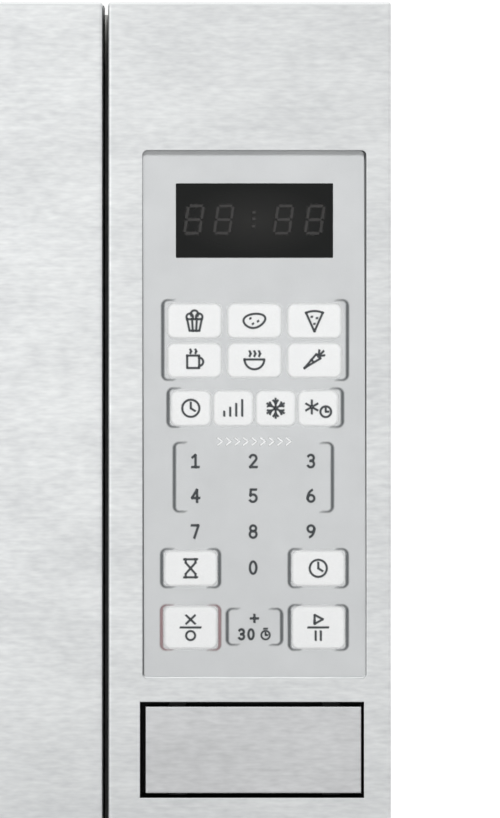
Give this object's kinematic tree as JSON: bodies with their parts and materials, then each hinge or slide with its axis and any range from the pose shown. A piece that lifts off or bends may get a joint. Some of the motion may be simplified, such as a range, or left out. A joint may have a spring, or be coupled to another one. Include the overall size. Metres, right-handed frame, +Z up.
{
  "type": "built-in microwave oven",
  "caption": "Built-in microwave oven with a brushed steel front, side-hung window door, membrane keypad column and a push plate that releases the door latch.",
  "frame": {"origin": "centre of the footprint on the shelf, under the feet", "axes": "+X to the right seen from the front, +Y towards the rear, +Z up; the door faces -Y"},
  "size_m": [0.595, 0.42, 0.392],
  "materials": {
    "galvanised_steel": "bare galvanised sheet",
    "face_enamel": "satin enamel",
    "cavity_enamel": "smooth enamel",
    "brushed_stainless": "horizontal brush",
    "plated_steel": "zinc plated",
    "spring_steel": "drawn wire",
    "black_abs": "fine texture",
    "grey_nylon": "moulded",
    "white_acetal": "moulded",
    "membrane_film": "satin silver-grey film",
    "display_acrylic": "smoked acrylic",
    "circuit_board": "solder mask",
    "black_components": "moulded",
    "rubber": "moulded",
    "mica_sheet": "pressed mica",
    "ferrite": "sintered",
    "aluminium": "mill finish",
    "copper": "drawn copper",
    "laminations": "varnished lamination stack",
    "smoked_glass": "smoked toughened glass",
    "clear_glass": "toughened glass",
    "screen_film": "clear plastic film",
    "screen_enamel": "black enamel"
  },
  "bodies": {
    "casing": {"base_plate": "galvanised_steel", "feet": "rubber", "outer_cover": "galvanised_steel", "rear_panel": "galvanised_steel", "front_plate": "face_enamel", "cavity_box": "cavity_enamel", "cord_gland": "black_abs", "hinge_lower": "plated_steel", "hinge_upper": "plated_steel", "hinge_pins": "plated_steel", "waveguide": "galvanised_steel", "waveguide_cover": "mica_sheet", "magnetron_yoke": "galvanised_steel", "magnetron_anode": "aluminium", "magnetron_magnets": "ferrite", "magnetron_antenna": "copper", "magnetron_filter_box": "aluminium", "transformer_core": "laminations", "transformer_coils": "copper", "hv_capacitor": "aluminium", "capacitor_clamp": "plated_steel", "hv_diode": "black_components", "fan_shroud": "grey_nylon", "fan_motor": "laminations", "turntable_motor": "plated_steel", "lamp_holder": "galvanised_steel", "lamp_bulb": "clear_glass", "thermostat": "black_components", "noise_filter": "circuit_board", "latch_body": "white_acetal", "interlock_switches": "black_components", "control_fascia": "brushed_stainless", "control_housing": "black_abs", "keypad_overlay": "membrane_film", "display_lens": "display_acrylic", "display_module": "black_components", "control_board": "circuit_board", "board_components": "black_components", "button_springs": "spring_steel"},
    "door": {"door_skin": "brushed_stainless", "door_frame": "black_abs", "door_glass": "smoked_glass", "door_choke": "screen_enamel", "choke_cover": "black_abs", "door_inner_screen": "screen_film", "latch_spring": "spring_steel"},
    "latch": {"latch_hooks": "white_acetal"},
    "button": {"button_cap": "brushed_stainless", "button_body": "black_abs"},
    "lever": {"release_lever": "white_acetal"},
    "turntable": {"glass_tray": "clear_glass", "drive_coupler": "grey_nylon"},
    "ring": {"roller_ring": "grey_nylon"},
    "roller_a": {"roller_1": "white_acetal"},
    "roller_b": {"roller_2": "white_acetal"},
    "roller_c": {"roller_3": "white_acetal"},
    "fan": {"fan_blade": "black_abs"}
  },
  "joints": [
    {"name": "door_hinge", "type": "hinge", "parent": "casing", "child": "door", "pos_m": [-0.2905, -0.185, 0.198], "axis": [0, 0, -1], "range_deg": [0, 90]},
    {"name": "latch_lift", "type": "slide", "parent": "door", "child": "latch", "axis": [0, 0, 1], "range_m": [0, 0.004], "stiffness_N_per_m": 300, "springref_m": -0.004, "deforming": ["latch_spring"]},
    {"name": "release_button", "type": "slide", "parent": "casing", "child": "button", "axis": [0, 1, 0], "range_m": [0, 0.006], "stiffness_N_per_m": 700, "springref_m": -0.004, "deforming": ["button_springs"]},
    {"name": "release_lever_pivot", "type": "hinge", "parent": "casing", "child": "lever", "pos_m": [0.134, -0.1672, 0.0845], "axis": [1, 0, 0], "range_deg": [0, 8.5]},
    {"name": "tray_spin", "type": "hinge", "parent": "casing", "child": "turntable", "pos_m": [-0.06725, -0.0117, 0.066], "axis": [0, 0, 1], "continuous": true},
    {"name": "ring_spin", "type": "hinge", "parent": "casing", "child": "ring", "pos_m": [-0.06725, -0.0117, 0.0743], "axis": [0, 0, 1], "continuous": true},
    {"name": "fan_spin", "type": "hinge", "parent": "casing", "child": "fan", "pos_m": [0.19, 0.165, 0.153], "axis": [0, 1, 0], "continuous": true},
    {"name": "roller_1_spin", "type": "hinge", "parent": "ring", "child": "roller_a", "pos_m": [0.03325, -0.0117, 0.0743], "axis": [1, 0, 0], "continuous": true},
    {"name": "roller_2_spin", "type": "hinge", "parent": "ring", "child": "roller_b", "pos_m": [-0.1175, 0.07534, 0.0743], "axis": [-0.5, 0.866, 0], "continuous": true},
    {"name": "roller_3_spin", "type": "hinge", "parent": "ring", "child": "roller_c", "pos_m": [-0.1175, -0.09874, 0.0743], "axis": [-0.5, -0.866, 0], "continuous": true}
  ],
  "couplings": [
    {"joint": "latch_lift", "follows": "release_button", "ratio": 0.66666},
    {"joint": "release_lever_pivot", "follows": "release_button", "rad_per_m": 24.272},
    {"joint": "ring_spin", "follows": "tray_spin", "ratio": 0.5},
    {"joint": "roller_1_spin", "follows": "tray_spin", "ratio": -6.2812},
    {"joint": "roller_2_spin", "follows": "tray_spin", "ratio": -6.2812},
    {"joint": "roller_3_spin", "follows": "tray_spin", "ratio": -6.2812}
  ]
}
